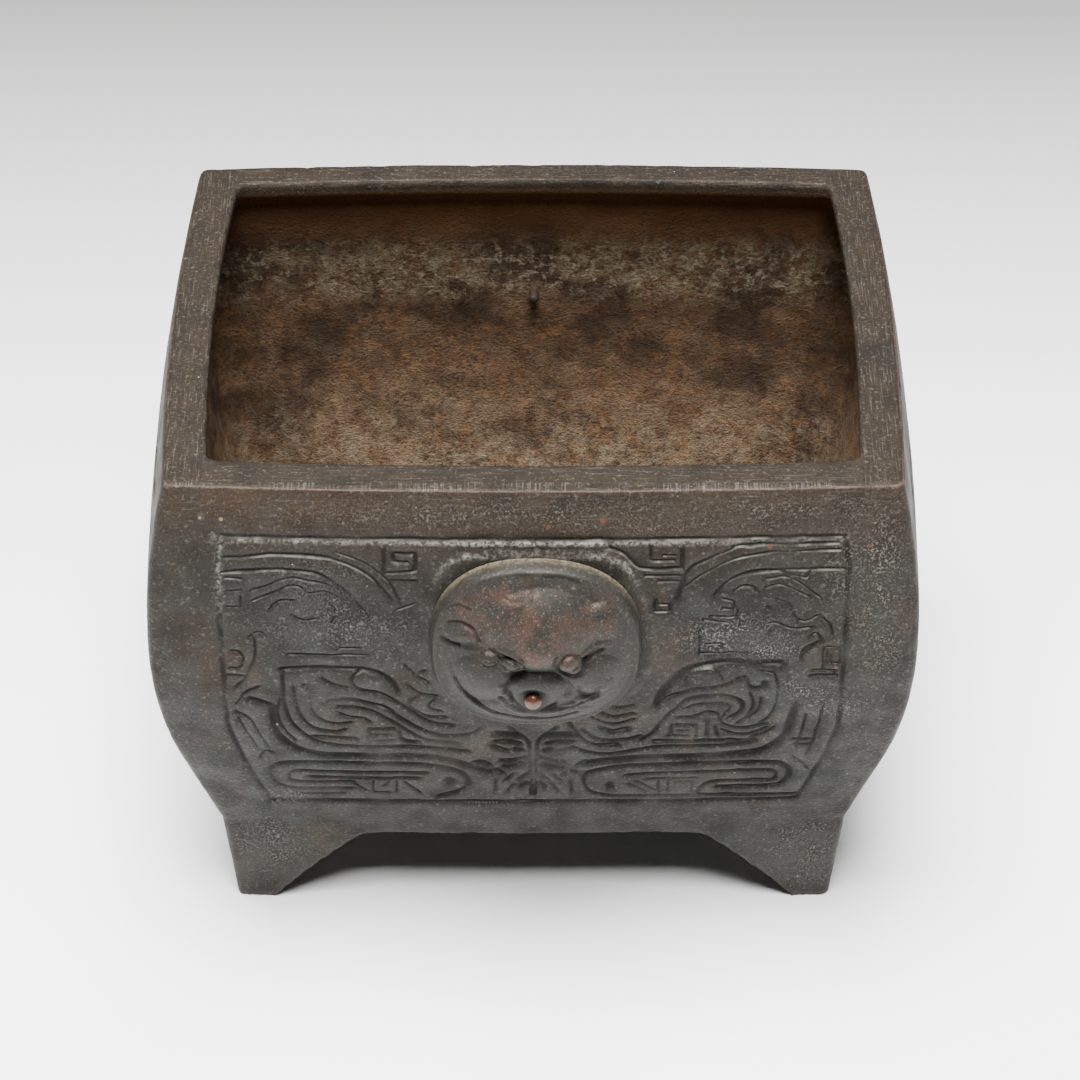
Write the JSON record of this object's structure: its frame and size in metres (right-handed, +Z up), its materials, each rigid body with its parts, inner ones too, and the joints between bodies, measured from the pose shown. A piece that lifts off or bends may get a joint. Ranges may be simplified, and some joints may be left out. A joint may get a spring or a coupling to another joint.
{
  "type": "incense burner",
  "caption": "Rectangular cast iron incense burner with bulging carved walls, a deep open bowl, pinned beast masks and short tapering corner feet.",
  "frame": {"origin": "on the ground under the middle of the burner", "axes": "+X along the long walls, +Y from the front wall to the back wall, +Z up"},
  "size_m": [0.1636, 0.1527, 0.1225],
  "materials": {
    "body_iron": "dark worn iron with rust and pale dust in the carving",
    "mask_iron": "smoother grey iron, rubbed red-brown on the brow",
    "pin_iron": "red-brown rusted rivet, rubbed smooth"
  },
  "bodies": {
    "root": {"body": "body_iron", "front_mask": "mask_iron", "back_mask": "mask_iron", "front_pin": "pin_iron", "back_pin": "pin_iron"}
  },
  "joints": []
}
